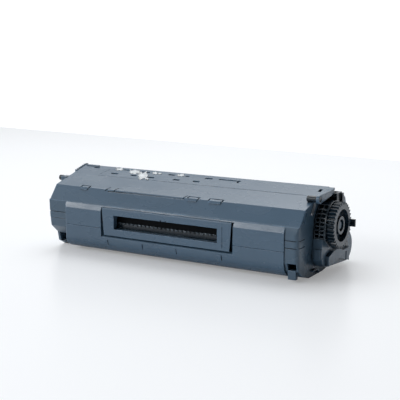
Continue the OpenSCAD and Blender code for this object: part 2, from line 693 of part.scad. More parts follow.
// Tab beside the drive ring, on a gusset of the cage
module cage_tab() {
  y0 = drive_c[0] + ring_m * (ring_teeth / 2 + 1) + 0.8;
  z0 = drive_c[1] - 5.4;
  block([cage_x1 - 3, y0, z0], [xr + gear_reach, y0 + 2, z0 + 7.4]);
  slab(xr + 4, cage_x1) polygon([[y0 - 6, z0 - 4], [y0 + 2, z0], [y0 + 2, z0 + 7.4], [y0 - 6, z0 + 13]]);
}

// Forked bracket on the end of the lower cover
module gear_retainer() {
  y = drum_c[0] - 38;
  z = drum_c[1] - 19;
  color(cap_col) slab(cover_x1, cover_x1 + retainer_t) polygon([
    [y - 16, z + 9.6], [y - 2, z + 10.4], [y + 10, z + 12.6], [y + 24, z + 8.6], [y + 27, z + 8],
    [y + 27, z + 16], [y + 30, z + 16], [y + 30, z + 6.8], [y + 37.5, z + 5], [y + 37.5, z + 19.4],
    [y + 30, z + 18.4], [y + 21, z + 18.4], [y + 12, z + 23], [y - 4, z + 22.6], [y - 16, z + 19]]);
}

// Spring clip on the end face in front of the gear cage: two legs joined by a round bend
module earth_clip() {
  foot = drive_c + 32.6 * [cos(154), sin(154)];
  u = [cos(55), sin(55)];
  v = left_of(u);
  leg = 11;
  gap = 1.6;
  path = concat([foot + u * leg + v * gap],
                [for (t = [0:30:180]) foot + gap * (v * cos(t) - u * sin(t))],
                [foot + u * leg - v * gap]);
  color(steel_col) slab(xr, xr + 1.2) polygon(strip(path, 1));
}

// Round pins that guide the cartridge into the printer
module guide_pins() {
  color(dark_col) {
    rod(xr - 6, xr + ear_len - 0.2, guide_right_c, guide_right_r);
    rod(xl - guide_reach, xl - guide_lug - guide_relief, guide_left_c, guide_left_r);
    rod(xl - guide_reach + 1, xl - guide_lug + guide_seat - seat_gap, guide_left_c, guide_spigot_r);
  }
}

module cap_screws() {
  color(steel_col) {
    for (p = left_screws) screw(xl, p, 1);
    for (p = cage_screws) screw(xr + 3, p, -1);
  }
}
// Pan head screw: the head lies outside x, the shank runs inwards
module screw(x, p, dir) {
  head = 1.6;
  translate([x, p[0], p[1]]) rotate([0, 90 * dir, 0]) difference() {
    union() {
      translate([0, 0, -head]) cylinder(r = screw_head_r, h = head);
      translate([0, 0, -eps]) cylinder(r = screw_r, h = screw_len);
    }
    for (a = [0, 90]) rotate([0, 0, a]) translate([-1.6, -0.3, -head - 1]) cube([3.2, 0.6, 1.8]);
  }
}

module fill_plug() {
  color(dark_col) difference() {
    union() {
      rod(hop_x0 - 1.5, hop_x0, plug_c, plug_r + 2);
      rod(hop_x0 - eps, hop_x0 + wall + 2, plug_c, plug_r);
    }
    rod(hop_x0 - 2, hop_x0 + wall, plug_c, plug_r - 1.8);
  }
}

film_t = 0.25;
module seal_film() {
  tip = dev_c + (dev_r + nip_gap) * [cos(225), sin(225)];
  color(dark_col) slab(work_x0, work_x1)
    polygon(strip([tip, tray_lip + [0, 0.1], tray_lip - [0, 6]], film_t));
}

// Doctor blade holder on the hopper's rear wall
blade_y = hop_rear_y - 5;
holder_t = 1.2;
module doctor_bracket() {
  color(steel_col) difference() {
    slab(work_x0, work_x1) polygon(strip([[blade_y, parting_z + 1.1], [hop_rear_y + holder_t, parting_z + 1.1],
                                          [hop_rear_y + holder_t, parting_z + 16]], holder_t));
    for (x = [work_x0 + 6, work_x1 - 6]) translate([x, hop_rear_y - 1, parting_z + 11]) rotate([-90, 0, 0])
      cylinder(r = 1.6, h = 4);
  }
}
module doctor_blade() {
  top = parting_z + 1.1;
  touch = dev_c[1] + sqrt(dev_r * dev_r - pow(blade_y - dev_c[0], 2)) + nip_gap;
  color(rubber_col) block([work_x0, blade_y, touch], [work_x1, blade_y + 1.2, top]);
}

magnet_shaft_r = 3;
magnet_tip_r = 2;
module magnet_core() {
  core_r = dev_r - sleeve_wall - 0.5;
  color(dark_col) union() {
    rod(work_x0 + 6, work_x1 - 6, dev_c, core_r);
    rod(hop_x0 - 14, work_x0 + 6 + eps, dev_c, magnet_shaft_r);
    rod(work_x1 - 6 - eps, work_x1 + 1, dev_c, magnet_tip_r);
  }
}

bush_r = 6.6;
dev_stub_r = 4.5;
module dev_bushes() {
  color([0.85, 0.85, 0.82]) {
    difference() {
      union() {
        rod(hop_x0, hop_x0 + wall + 1, dev_c, bush_r);
        rod(hop_x0 + wall, hop_x0 + wall + 1.4, dev_c, bush_r + 1.4);
      }
      rod(hop_x0 - 1, hop_x0 + wall + 2, dev_c, dev_stub_r + run_gap);
    }
    difference() {
      union() {
        rod(hop_x1 - wall - 1, hop_x1, dev_c, bush_r);
        rod(hop_x1 - wall - 1.4, hop_x1 - wall, dev_c, bush_r + 1.4);
      }
      rod(hop_x1 - wall - 2, hop_x1 + 1, dev_c, dev_journal_r + run_gap);
    }
  }
}

// Waste bin section
bin_y0 = drum_c[0] - 3.5;
bin_floor = 42;
part_y = drum_c[0] + 10.6;
part_t = 1.7;
bin_upper = [[bin_y0, bin_floor], [rear_y, bin_floor], [rear_y, bin_top - 11.5], [rear_y - 3.5, bin_top - 3.5],
             [rear_y - 10, bin_top], [bin_y0, bin_top]];
bin_lower = [[rear_y, bin_floor + 1], [rear_y, 24], [rear_y - 5.5, 14], [rear_y - 8.5, 14]];
module waste_bin() {
  color(cap_col) union() {
    difference() {
      slab(bin_x0, bin_x1) union() {
        polygon(bin_upper);
        translate([bin_y0, bin_floor - 7]) square([bin_wall, 7 + eps]);
        translate([part_y, bin_floor - 11]) square([part_t, 11 + eps]);
        polygon(strip(bin_lower, -bin_wall));
      }
      slab(bin_x0 + bin_wall, bin_x1 - bin_wall) union() {
        polygon(inset(bin_upper, bin_wall));
        translate([bin_y0 + bin_wall, bin_top - 6]) square([rear_y - 12 - bin_y0 - bin_wall, 8]);
        translate([part_y + part_t, bin_floor - 1]) square([rear_y - bin_wall - part_y - part_t, 6]);
      }
    }
    for (x = [bin_x0, bin_x1 - bin_wall]) slab(x, x + bin_wall) union() {
      translate([bin_y0, bin_floor - 8]) square([part_y - bin_y0 + part_t, 8 + eps]);
      polygon([[part_y, bin_floor + eps], [part_y, bin_floor - 11], [rear_y - 8.5, 14], [rear_y - 5.5, 14],
               [rear_y, 24], [rear_y, bin_floor + eps]]);
    }
  }
}
lid_t = 2;
module waste_lid() {
  color(cap_col) union() {
    block([bin_x0, bin_y0, bin_top], [bin_x1, rear_y - 10, bin_top + lid_t]);
    for (x = [bin_x0 + 20 : 24 : bin_x1 - 20])
      block([x, bin_y0 + 2, bin_top + lid_t - eps], [x + 1.6, rear_y - 12, bin_top + lid_t + 0.8]);
  }
}

wiper_y = part_y + part_t;
module wiper_bracket() {
  color(steel_col) block([work_x0, wiper_y, 29], [work_x1, wiper_y + holder_t, bin_floor - 0.5]);
}
module wiper_blade() {
  y = wiper_y + holder_t;
  tip = drum_c + (drum_r + nip_gap) * [cos(13), sin(13)];
  color(rubber_col) slab(work_x0, work_x1) polygon([
    tip, tip + [1.3, -0.5], [y + 1.6, 28], [y + 1.6, 34], [y, 34], [y, 28]]);
}
module recovery_film() {
  tip = drum_c + (drum_r + nip_gap) * [cos(-28), sin(-28)];
  seat = [rear_y - 8.5, 14];
  color(dark_col) slab(work_x0, work_x1) polygon(strip([seat + [2.5, 0], seat, tip], film_t));
}

bearing_w = 4;
bearing_x = [drum_x0 - 1.4, drum_x1 + 1.4 - bearing_w];
bearing_top = charge_c[1] + charge_shaft_r + 0.7;
module charge_bearings() {
  color([0.85, 0.85, 0.82]) for (x = bearing_x) difference() {
    block([x, charge_c[0] - 4, charge_c[1] - charge_shaft_r - 0.6], [x + bearing_w, charge_c[0] + 4, bearing_top]);
    rod(x - 1, x + bearing_w + 1, charge_c, charge_shaft_r + run_gap);
  }
}
module charge_springs() {
  wire = 0.3;
  color(steel_col) for (x = bearing_x)
    translate([x + bearing_w / 2, charge_c[0], bearing_top])
      coil(bin_floor - bearing_top, 1.4, wire, 3);
}

module drum_pin() {
  color(steel_col) union() {
    rod(xl - 3.2, drum_x0 + 7, drum_c, drum_pin_r);
    rod(xl - 1.2, xl, drum_c, drum_pin_r + 5);
  }
}
module shutter_pins() {
  color(steel_col) {
    rod(hop_x0 - 9, arm_l + arm_t + 0.8, pivot, pivot_r);
    rod(arm_r - 0.8, hop_x1 + 8, pivot, pivot_r);
  }
}

module contact_plates() {
  plate = 0.5;
  color(steel_col) {
    difference() {
      slab(xl - plate, xl) polygon([[4, 30], [20, 30], [20, 38], [12, 38], [12, 44], [4, 44]]);
      rod(xl - 1, xl + 1, [8, 37], 1.2);
    }
    slab(xl - plate, xl) polygon([[-14, 24], [-4, 24], [-4, 36], [-9, 36], [-14, 31]]);
  }
}
module memory_chip() {
  z = bin_top + lid_t;
  color([0.1, 0.35, 0.25])
    block([bin_x0 + 4, bin_y0 + 2.5, z], [bin_x0 + 18, bin_y0 + 11, z + 0.8]);
  color([0.8, 0.65, 0.3]) for (i = [0:3])
    block([bin_x0 + 5.2 + i * 3, bin_y0 + 4, z + 0.8 - eps], [bin_x0 + 7.2 + i * 3, bin_y0 + 9, z + 0.9]);
}

module drum_tube() {
  color(drum_col) difference() {
    rod(drum_x0, drum_x1, drum_c, drum_r);
    rod(drum_x0 - 1, drum_x1 + 1, drum_c, drum_r - drum_wall);
  }
}
drum_plug_r = drum_r - drum_wall - seat_gap;
module drum_gear() {
  color(gear_col) union() {
    rod(drum_x1 - 8, drum_x1, drum_c, drum_plug_r);
    rod(drum_x1, drum_x1 + 1.3, drum_c, drum_r);
    rod(drum_x1 + 1.3 - eps, cover_x1, drum_c, drum_journal_r);
    slab(gear_a0, gear_b1) translate(drum_c) gear_2d(drum_teeth, gear_m, drum_phase);
  }
}
module drum_flange() {
  color(gear_col) difference() {
    union() {
      rod(drum_x0, drum_x0 + 8, drum_c, drum_plug_r);
      rod(drum_x0 - 1.3, drum_x0, drum_c, drum_r);
    }
    rod(drum_x0 - 3, drum_x0 + 9, drum_c, drum_pin_r + run_gap);
  }
}

module dev_sleeve() {
  color(dark_col) difference() {
    rod(work_x0, work_x1, dev_c, dev_r);
    rod(work_x0 - 1, work_x1 + 1, dev_c, dev_r - sleeve_wall);
  }
}
dev_plug_r = dev_r - sleeve_wall - seat_gap;
module dev_gear() {
  color(gear_col) difference() {
    union() {
      rod(work_x1 - 5, work_x1, dev_c, dev_plug_r);
      rod(work_x1, work_x1 + 2, dev_c, dev_r);
      rod(work_x1 + 2 - eps, gear_a1, dev_c, dev_journal_r);
      slab(gear_a0, gear_a1) translate(dev_c) gear_2d(dev_teeth, gear_m, dev_phase);
    }
    rod(work_x1 - 6, work_x1 + 1.5, dev_c, magnet_tip_r + run_gap);
  }
}
module dev_flange() {
  color(gear_col) difference() {
    union() {
      rod(work_x0, work_x0 + 5, dev_c, dev_plug_r);
      rod(work_x0 - 2, work_x0, dev_c, dev_r);
      rod(hop_x0 + 0.2, work_x0 - 2 + eps, dev_c, dev_stub_r);
    }
    rod(hop_x0 - 1, work_x0 + 6, dev_c, magnet_shaft_r + run_gap);
  }
}

module charge_shaft() {
  color(steel_col) rod(bearing_x[0] + 0.3, bearing_x[1] + bearing_w - 0.3, charge_c, charge_shaft_r);
}
module charge_rubber() {
  color(rubber_col) difference() {
    rod(bearing_x[0] + bearing_w + 0.8, bearing_x[1] - 0.8, charge_c, charge_r);
    rod(drum_x0 - 4, drum_x1 + 4, charge_c, charge_shaft_r + seat_gap);
  }
}

// Input gear: two inner rims, the outer ring with a deep recess, and the hub
module drive_gear() {
  recess = 5;
  core_r = gear_m * drive_agit_teeth / 2 - 2;
  ring_recess_r = ring_m * ring_teeth / 2 - 6;
  color(gear_col) difference() {
    union() {
      slab(gear_a0, gear_a1) translate(drive_c) gear_2d(drive_agit_teeth, gear_m, drive_phase);
      slab(gear_b0, gear_b1) translate(drive_c) gear_2d(drive_teeth, gear_m, drive_phase);
      slab(ring_x0, ring_x1) translate(drive_c) gear_2d(ring_teeth, ring_m, 0);
      rod(gear_a0, ring_x0 + eps, drive_c, core_r);
    }
    difference() {
      rod(ring_x1 - recess, ring_x1 + 1, drive_c, ring_recess_r);
      rod(ring_x1 - recess - 1, ring_x1 - 1.2, drive_c, 9);
    }
    rod(gear_a0 - 1, ring_x1 + 2, drive_c, drive_boss_r + run_gap);
    rod(ring_x1 - 4.2, ring_x1 + 1, drive_c, drive_boss_r + 2.2);
  }
}

module idler_gear() {
  color(gear_col) difference() {
    slab(gear_b0, gear_b1) translate(idler_c) gear_2d(idler_teeth, gear_m, idler_phase);
    rod(gear_b0 - 1, gear_b1 + 1, idler_c, idler_boss_r + run_gap);
  }
}

module agitator_shaft() {
  color(cap_col) union() {
    rod(hop_x0 + 0.2, gear_a1, agit_c, agitator_r);
    for (x = [work_x0 : (work_x1 - work_x0 - 4) / 6 : work_x1])
      slab(x, x + 4) polygon([agit_c + [-agitator_r, -1.2], agit_c + [-agitator_r - 5, -1.2],
                              agit_c + [-agitator_r - 5, 0], agit_c + [0, 0], agit_c + [0, -1.2]]);
  }
}
module agitator_film() {
  color(dark_col) slab(work_x0, work_x1) polygon([
    agit_c + [-agitator_r - 0.1, 0], agit_c + [-agitator_reach, 0],
    agit_c + [-agitator_reach, 0.4], agit_c + [-agitator_r - 0.1, 0.4]]);
}
module agitator_gear() {
  color(gear_col) difference() {
    slab(gear_a0, gear_a1) translate(agit_c) gear_2d(agit_teeth, gear_m, agit_phase);
    rod(gear_a0 - 1, gear_a1 + 1, agit_c, agitator_r + seat_gap);
  }
}

// Shutter: a shell round its pivot, carried by an arm at each end
shutter_from = -15;
shutter_to = 44;
arm_angle = 38.5;
// Direction from the pivot at angle a, counted from straight down towards the rear
function from_pivot(a) = [sin(a), -cos(a)];
module drum_shutter() {
  far = shutter_r * 1.5;
  mid = (shutter_from + shutter_to) / 2;
  color(cap_col) slab(arm_l, arm_r + arm_t) intersection() {
    difference() {
      translate(pivot) circle(r = shutter_r + shutter_t);
      translate(pivot) circle(r = shutter_r);
    }
    polygon([pivot, pivot + far * from_pivot(shutter_from), pivot + far * from_pivot(mid),
             pivot + far * from_pivot(shutter_to)]);
  }
}
// Straight tapered arm between the pivot and the inside of the shell
module shutter_arms() {
  reach = shutter_r - 0.25;
  half = 3.9;
  color(cap_col) for (x = [arm_l, arm_r]) difference() {
    union() {
      rod(x, x + arm_t, pivot, pivot_hub_r);
      slab(x, x + arm_t) intersection() {
        translate(pivot) circle(r = reach);
        polygon([pivot + 3 * from_pivot(arm_angle + 90), pivot + 3 * from_pivot(arm_angle - 90),
                 pivot + reach * from_pivot(arm_angle) + half * from_pivot(arm_angle - 90),
                 pivot + (reach + 2) * from_pivot(arm_angle),
                 pivot + reach * from_pivot(arm_angle) + half * from_pivot(arm_angle + 90)]);
      }
    }
    rod(x - 1, x + arm_t + 1, pivot, pivot_r + run_gap);
  }
}
module shutter_spring() {
  color(steel_col) translate([arm_l + arm_t + run_gap, pivot[0], pivot[1]]) rotate([0, 90, 0])
    coil(bin_clear - 2 * run_gap, pivot_r + 0.9, 0.35, 2.5);
}

place() top_cover();
place() hopper_shell();
place() hopper_tray();
place() window_bezel();
place() window_channel();
place() slot_comb();
place() left_end_cap();
place() right_end_cap();
place() gear_cage();
place() gear_cover();
place() gear_retainer();
place() earth_clip();
place() guide_pins();
place() cap_screws();
place() fill_plug();
place() seal_film();
place() doctor_bracket();
place() doctor_blade();
place() magnet_core();
place() dev_bushes();
place() waste_bin();
place() waste_lid();
place() wiper_bracket();
place() wiper_blade();
place() recovery_film();
place() charge_bearings();
place() charge_springs();
place() drum_pin();
place() shutter_pins();
place() contact_plates();
place() memory_chip();
place() drum_tube();
place() drum_gear();
place() drum_flange();
place() dev_sleeve();
place() dev_gear();
place() dev_flange();
place() charge_shaft();
place() charge_rubber();
place() drive_gear();
place() idler_gear();
place() agitator_shaft();
place() agitator_film();
place() agitator_gear();
place() drum_shutter();
place() shutter_arms();
place() shutter_spring();
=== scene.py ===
"""Dressed model of a laser printer toner cartridge: finishes, small pieces, table, lamps and camera.

All lengths are in metres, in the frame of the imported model: X runs along the rollers towards the gears,
the front with its slot faces -Y and Z is up.
"""

import json
import math

import bpy
import numpy as np
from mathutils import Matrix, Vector


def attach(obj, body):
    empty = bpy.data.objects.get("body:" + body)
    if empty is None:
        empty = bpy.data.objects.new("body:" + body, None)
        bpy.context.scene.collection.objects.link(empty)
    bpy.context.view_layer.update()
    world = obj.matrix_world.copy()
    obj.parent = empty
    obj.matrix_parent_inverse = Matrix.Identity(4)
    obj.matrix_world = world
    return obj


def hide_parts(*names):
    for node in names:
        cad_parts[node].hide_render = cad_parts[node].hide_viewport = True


bl_info = {
    "name": "Toner Cartridge",
    "version": (1, 0, 0),
    "blender": (4, 5, 0),
    "location": "View3D > Sidebar > Cartridge",
    "description": "Finishes, small pieces, table and lamps for a toner cartridge",
    "category": "Object",
}

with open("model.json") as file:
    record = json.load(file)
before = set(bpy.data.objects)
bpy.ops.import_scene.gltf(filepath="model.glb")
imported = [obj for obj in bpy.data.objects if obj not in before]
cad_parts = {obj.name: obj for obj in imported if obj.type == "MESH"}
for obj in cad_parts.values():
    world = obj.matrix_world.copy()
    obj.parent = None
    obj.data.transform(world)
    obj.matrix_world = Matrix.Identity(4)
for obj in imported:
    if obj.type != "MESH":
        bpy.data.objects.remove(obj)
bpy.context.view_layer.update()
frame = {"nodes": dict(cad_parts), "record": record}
NODES = frame["nodes"]
MM = 0.001

# Way from the cartridge in which the room is darkest: above its right-hand end and its front
DARK_SIDE = (0.68, -0.45, 0.58)
# Size and place of the lamps, the point that they and the camera face, and the table's corners
KEY_LAMP = {"size": (1.4, 1.0), "place": (-0.35, 0.6, 1.3)}
FRONT_LAMP = {"size": (2.0, 0.22), "place": (-0.7, -1.33, 0.92)}
LOOK_AT = (2.3 * MM, 0, 58.6 * MM)
TABLE_CORNERS = ((-2.2, -1.6), (2.4, -1.6), (2.4, 0.62), (-2.2, 0.95))
# Node behind the slot, and the heights between which its paler lower half ends and the painted shade of its
# upper half begins
CHANNEL = "window_channel"
SHADE_LINE = (34.5 * MM, 36.5 * MM)
# Y and Z of two points on the slope of the top
TOP_LINE = np.array([(-43.9, 68.9), (10.4, 84.0)]) * MM
# Scraps of the label: name, X and Y of the corners in millimetres, phase of the torn edge
PAPER = (
    ("label_remains_1", ((-111.2, 7.5), (-104.1, 8.8), (-100.5, 3.7), (-107.6, 2.3)), 0.3),
    ("label_remains_2", ((-91.0, 5.5), (-80.4, 7.5), (-74.7, -1.0), (-85.2, -3.0)), 1.7),
    ("label_remains_3", ((-77.4, 1.4), (-67.4, 3.2), (-57.0, -11.0), (-67.2, -12.9)), 2.9),
    ("label_remains_4", ((-61.2, 5.9), (-56.5, 6.8), (-53.4, 2.1), (-58.0, 1.2)), 4.1),
    ("label_remains_5", ((-54.1, 5.1), (-50.2, 5.9), (-48.3, 3.0), (-52.2, 2.3)), 5.2),
    ("label_remains_6", ((-29.2, 6.2), (-22.5, 7.5), (-19.9, 3.2), (-26.6, 1.9)), 0.9),
)
# Nodes shown as merged copies that are smooth over their bends
SMOOTH = ("top_cover", "hopper_shell", "hopper_tray", "right_end_cap", "gear_cage", "gear_cover",
          "drum_shutter", "waste_bin", "drive_gear", "drum_tube", "guide_pins")


def linear(red, green, blue):
    """Linear light of a colour given in steps of 0 to 255 as a screen shows it."""
    steps = np.array([red, green, blue]) / 255
    return tuple(np.where(steps <= 0.04045, steps / 12.92, ((steps + 0.055) / 1.055) ** 2.4))


class CartridgeFinishes(bpy.types.PropertyGroup):
    """Colours and textures of the cartridge's materials."""

    shell: bpy.props.FloatVectorProperty(
        name="Shell", description="Colour of the hopper and the top cover",
        default=linear(70, 93, 113), size=3, subtype="COLOR", min=0, max=1)
    cap: bpy.props.FloatVectorProperty(
        name="End caps", description="Colour of the end caps, the waste bin and the shutter",
        default=linear(64, 86, 104), size=3, subtype="COLOR", min=0, max=1)
    black: bpy.props.FloatVectorProperty(
        name="Black moulding", description="Colour of the gear cage and the parts behind the slot",
        default=linear(17, 31, 41), size=3, subtype="COLOR", min=0, max=1)
    gear: bpy.props.FloatVectorProperty(
        name="Gears", description="Colour of the gears",
        default=linear(26, 44, 57), size=3, subtype="COLOR", min=0, max=1)
    grain: bpy.props.FloatProperty(
        name="Grain", description="Size of the grain of the moulded surfaces",
        default=0.45 * MM, min=0.1 * MM, max=2 * MM, unit="LENGTH")
    edge: bpy.props.FloatProperty(
        name="Edge", description="Radius at which moulded edges catch the light",
        default=0.8 * MM, min=0.05 * MM, max=2 * MM, unit="LENGTH")
    paper: bpy.props.FloatProperty(
        name="Paper lift", description="How far the label remains stand off the top",
        default=0.12 * MM, min=0.05 * MM, max=0.5 * MM, unit="LENGTH")
    smooth: bpy.props.FloatProperty(
        name="Smooth up to", description="Faces that turn by less than this shade as one bend",
        default=math.radians(22), min=0, max=math.radians(90), subtype="ANGLE")


class CartridgeStage(bpy.types.PropertyGroup):
    """Table, lamps and camera."""

    table: bpy.props.FloatVectorProperty(
        name="Table", description="Colour of the table",
        default=linear(240, 243, 247), size=3, subtype="COLOR", min=0, max=1)
    haze: bpy.props.FloatProperty(
        name="Pale table", description="Share of plain white in what the camera sees of the table",
        default=0.27, min=0, max=1, subtype="FACTOR")
    key: bpy.props.FloatProperty(
        name="Key lamp", description="Power of the large lamp above and behind the cartridge",
        default=12, min=0, max=200)
    fill: bpy.props.FloatProperty(
        name="Front lamp", description="Power of the wide lamp at the front and left",
        default=12, min=0, max=100)
    air: bpy.props.FloatProperty(
        name="Room light", description="Strength of the soft light of the room",
        default=1.15, min=0, max=2)
    dark: bpy.props.FloatProperty(
        name="Dark side", description="How dark the room is above the front, where no lamp hangs",
        default=1, min=0, max=1, subtype="FACTOR")
    lens: bpy.props.FloatProperty(
        name="Lens", description="Focal length of the camera in millimetres, on a 36 mm sensor",
        default=83.7, min=20, max=300)
    turn: bpy.props.FloatProperty(
        name="Turn", description="How far the camera stands round to the right",
        default=math.radians(30.5), subtype="ANGLE")
    height: bpy.props.FloatProperty(
        name="Height", description="How far the camera stands above the horizon",
        default=math.radians(10.5), subtype="ANGLE")
    distance: bpy.props.FloatProperty(
        name="Distance", description="Distance from the camera to the point it looks at",
        default=990 * MM, min=0.3, max=5, unit="LENGTH")


class Shader:
    """One procedural material: its nodes are added with node() and joined with link()."""

    def __init__(self, name):
        self.material = bpy.data.materials.new(name)
        self.material.use_nodes = True
        self.tree = self.material.node_tree
        self.tree.nodes.clear()
        self.surface = self.node("ShaderNodeBsdfPrincipled")
        self.output = self.node("ShaderNodeOutputMaterial")
        self.link(self.surface, 0, self.output, "Surface")
        self.place = self.node("ShaderNodeTexCoord")

    def node(self, kind, inputs=None, **settings):
        """Adds a node, sets its attributes from settings and its sockets from inputs."""
        made = self.tree.nodes.new(kind)
        for name, value in settings.items():
            setattr(made, name, value)
        for socket, value in (inputs or {}).items():
            made.inputs[socket].default_value = value
        return made

    def link(self, source, output, target, socket):
        """Joins one node's output to another's socket, both given by name or number."""
        self.tree.links.new(source.outputs[output], target.inputs[socket])

    def set(self, **values):
        """Sets sockets of the surface shader; an underscore in a name stands for a space."""
        for name, value in values.items():
            if isinstance(value, tuple):
                value = (*value, 1)
            self.surface.inputs[name.replace("_", " ")].default_value = value

    def stretched(self, scale):
        """Object coordinates, stretched by a scale for each axis."""
        mapping = self.node("ShaderNodeMapping", {"Scale": scale})
        self.link(self.place, "Object", mapping, "Vector")
        return mapping

    def noise(self, scale, detail=2, stretch=None, **inputs):
        """Noise of a scale, in bumps per metre."""
        made = self.node("ShaderNodeTexNoise", {"Scale": scale, "Detail": detail, **inputs})
        source = self.stretched(stretch) if stretch else self.place
        self.link(source, "Vector" if stretch else "Object", made, "Vector")
        return made

    def ranged(self, source, output, low, high, new_low, new_high):
        """Maps a value from one range to another and keeps it there."""
        made = self.node("ShaderNodeMapRange", {
            "From Min": low, "From Max": high, "To Min": new_low, "To Max": new_high})
        self.link(source, output, made, "Value")
        return made

    def times(self, first, first_out, second, second_out):
        """Product of two values."""
        made = self.node("ShaderNodeMath", operation="MULTIPLY")
        self.link(first, first_out, made, 0)
        self.link(second, second_out, made, 1)
        return made

    def mixed(self, amount, amount_out, first, second):
        """Colour between two, each a colour or a node that gives one."""
        made = self.node("ShaderNodeMix", data_type="RGBA")
        self.link(amount, amount_out, made, "Factor")
        for socket, colour in ((6, first), (7, second)):
            if isinstance(colour, tuple):
                made.inputs[socket].default_value = (*colour, 1)
            else:
                self.link(colour, 2 if colour.bl_idname == "ShaderNodeMix" else 0, made, socket)
        return made

    def edges(self, radius):
        """How far each point's true normal leaves the normal of an edge rounded to this radius."""
        rounded = self.node("ShaderNodeBevel", {"Radius": radius}, samples=6)
        true = self.node("ShaderNodeNewGeometry")
        dot = self.node("ShaderNodeVectorMath", operation="DOT_PRODUCT")
        self.link(rounded, 0, dot, 0)
        self.link(true, "Normal", dot, 1)
        return self.ranged(dot, "Value", 1, 0.8, 0, 1)

    def creases(self, depth):
        """How open a point lies to the air within a depth: 0 in a narrow groove, 1 on a plain face."""
        made = self.node("ShaderNodeAmbientOcclusion", {"Distance": depth}, samples=6)
        return self.ranged(made, "AO", 0.35, 0.9, 0, 1)

    def bump(self, height, output, strength, distance, radius=None):
        """Bump on the surface, on edges rounded to a radius."""
        made = self.node("ShaderNodeBump", {"Strength": strength, "Distance": distance})
        self.link(height, output, made, "Height")
        if radius:
            rounded = self.node("ShaderNodeBevel", {"Radius": radius}, samples=8)
            self.link(rounded, 0, made, "Normal")
        self.link(made, 0, self.surface, "Normal")
        return made


def shade(colour, factor):
    """A colour made lighter or darker by a factor."""
    return tuple(min(1.0, c * factor) for c in colour)


def moulded_plastic(name, colour, finishes, roughness=0.26, edge_sheen=0.85, highlight_tone=None):
    """Satin moulded plastic: slow changes of tone, fine grain, rubbed patches, painted highlights on its edges,
    painted shade in its grooves.
    """
    s = Shader(name)
    tone = s.ranged(s.noise(9, 3), 0, 0.3, 0.7, 0, 1)
    base = s.mixed(tone, 0, shade(colour, 0.93), shade(colour, 1.07))
    # Rounded edges, in patches, are painted paler: a painted highlight, not wear
    edge = s.times(s.edges(finishes.edge), 0, s.ranged(s.noise(60, 3), 0, 0.35, 0.7, 0.1, edge_sheen), 0)
    sheened = s.mixed(edge, 0, base, highlight_tone or shade(colour, 3))
    # Narrow grooves and gaps are painted dark: painted shade where little light reaches
    s.link(s.mixed(s.creases(3 * finishes.edge), 0, shade(colour, 0.25), sheened), 2, s.surface, "Base Color")
    rubbed = s.ranged(s.noise(24, 4, stretch=(1, 2.5, 2.5)), 0, 0.35, 0.65, roughness - 0.05, roughness + 0.06)
    s.link(rubbed, 0, s.surface, "Roughness")
    s.bump(s.noise(1 / finishes.grain, 2), 0, 0.12, 0.02 * MM, finishes.edge)
    return s.material


def channel_plastic(name, upper, lower):
    """Matt plastic behind the slot: almost black above, where shade is painted, and paler grey on its lower
    half.
    """
    s = Shader(name)
    height = s.node("ShaderNodeSeparateXYZ")
    s.link(s.place, "Object", height, "Vector")
    # Above this band the colour is the painted shade of the upper half; below it, paler grey
    paler_below = s.ranged(height, "Z", *SHADE_LINE, 1, 0)
    s.link(s.mixed(paler_below, 0, upper, shade(lower, 2.2)), 2, s.surface, "Base Color")
    s.set(Roughness=0.6, Specular_IOR_Level=0.1)
    s.bump(s.noise(1500, 2), 0, 0.2, 0.02 * MM)
    return s.material


def smooth_plastic(name, colour, finishes, roughness=0.24):
    """Smooth acetal: even tone, low bumps, a slight sheen on the tooth flanks, painted highlights on its edges.
    """
    s = Shader(name)
    tone = s.ranged(s.noise(40, 3), 0, 0.3, 0.7, 0, 1)
    base = s.mixed(tone, 0, shade(colour, 0.85), shade(colour, 1.15))
    # Edges, in patches, are painted paler: a painted highlight
    edge = s.times(s.edges(finishes.edge / 2), 0, s.ranged(s.noise(150, 3), 0, 0.35, 0.7, 0.1, 0.5), 0)
    s.link(s.mixed(edge, 0, base, shade(colour, 2)), 2, s.surface, "Base Color")
    s.link(s.ranged(s.noise(70, 3), 0, 0.3, 0.7, roughness - 0.06, roughness + 0.08), 0, s.surface, "Roughness")
    s.bump(s.noise(900, 2), 0, 0.12, 0.02 * MM, finishes.edge / 2)
    return s.material


def plated_steel(name, colour, roughness=0.32, stretch=(3, 60, 60), metallic=1.0):
    """Plated sheet or bar: bright metal with fine lines along X and duller patches."""
    s = Shader(name)
    lines = s.noise(25, 3, stretch=stretch)
    s.link(s.mixed(s.ranged(lines, 0, 0.3, 0.7, 0, 1), 0, shade(colour, 0.82), shade(colour, 1.1)), 2,
           s.surface, "Base Color")
    s.link(s.ranged(s.noise(40, 3), 0, 0.3, 0.7, roughness - 0.08, roughness + 0.1), 0, s.surface, "Roughness")
    s.set(Metallic=metallic)
    s.bump(lines, 0, 0.1, 0.02 * MM, 0.2 * MM)
    return s.material


def matt_rubber(name, colour, roughness=0.8):
    """Ground rubber: matt, with a fine tooth from grinding."""
    s = Shader(name)
    s.link(s.mixed(s.ranged(s.noise(120, 4), 0, 0.3, 0.7, 0, 1), 0, shade(colour, 0.8), shade(colour, 1.3)), 2,
           s.surface, "Base Color")
    s.set(Roughness=roughness, Specular_IOR_Level=0.3)
    s.bump(s.noise(2500, 2, stretch=(0.3, 1, 1)), 0, 0.3, 0.03 * MM)
    return s.material


def coated_drum(name, colour):
    """Organic coating on a drum: deep colour under a clear, almost mirror-like layer."""
    s = Shader(name)
    s.link(s.mixed(s.ranged(s.noise(4, 2, stretch=(1, 6, 6)), 0, 0.3, 0.7, 0, 1), 0,
                   shade(colour, 0.92), shade(colour, 1.08)), 2, s.surface, "Base Color")
    s.link(s.ranged(s.noise(300, 3, stretch=(0.05, 1, 1)), 0, 0.4, 0.7, 0.12, 0.22), 0, s.surface, "Roughness")
    s.set(Coat_Weight=0.6, Coat_Roughness=0.06)
    return s.material


